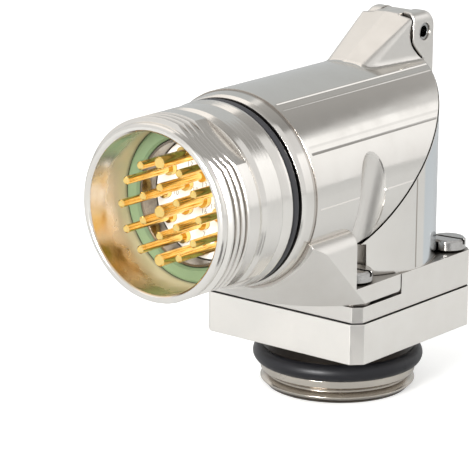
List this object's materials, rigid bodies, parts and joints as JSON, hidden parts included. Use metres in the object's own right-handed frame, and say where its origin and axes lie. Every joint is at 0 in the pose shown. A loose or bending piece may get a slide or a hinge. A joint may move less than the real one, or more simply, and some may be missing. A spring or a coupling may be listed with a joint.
{
  "type": "panel mount connector",
  "caption": "Angled circular pin connector: threaded round socket on a barrel that meets an upright body at a mitre, over a square mounting block with a threaded panel neck.",
  "frame": {"origin": "axis of the panel neck at the panel face of the square block", "axes": "-Z down the neck into the panel, -Y out of the socket along the barrel, X across"},
  "size_m": [0.025, 0.0515, 0.0475],
  "materials": {
    "nickel_casting": "bright satin nickel on a zinc casting",
    "gold_plate": "bright gold plate on turned brass",
    "screw_steel": "polished turned steel",
    "pin_steel": "rolled spring steel",
    "nickel_brass": "nickel on turned brass",
    "black_rubber": "moulded nitrile, slightly glossy",
    "green_plastic": "moulded, semi-matt",
    "white_plastic": "moulded, semi-matt"
  },
  "bodies": {
    "root": {"base_block": "nickel_casting", "panel_seal": "black_rubber", "flange_gasket": "black_rubber", "rear_housing": "nickel_casting", "front_housing": "nickel_casting", "mitre_seal": "black_rubber", "hinge_pin": "pin_steel", "coupling_seal": "black_rubber", "front_screw_right": "screw_steel", "front_screw_left": "screw_steel", "rear_screw_right": "screw_steel", "rear_screw_left": "screw_steel", "coding_ring": "green_plastic", "grounding_sleeve": "nickel_brass", "insulator_front": "white_plastic", "insulator_rear": "white_plastic", "retaining_ring": "nickel_brass", "contact_01": "gold_plate", "contact_02": "gold_plate", "contact_03": "gold_plate", "contact_04": "gold_plate", "contact_05": "gold_plate", "contact_06": "gold_plate", "contact_07": "gold_plate", "contact_08": "gold_plate", "contact_09": "gold_plate", "contact_10": "gold_plate", "contact_11": "gold_plate", "contact_12": "gold_plate", "contact_13": "gold_plate", "contact_14": "gold_plate", "contact_15": "gold_plate", "contact_16": "gold_plate", "contact_17": "gold_plate", "contact_18": "gold_plate", "contact_19": "gold_plate"}
  },
  "joints": []
}
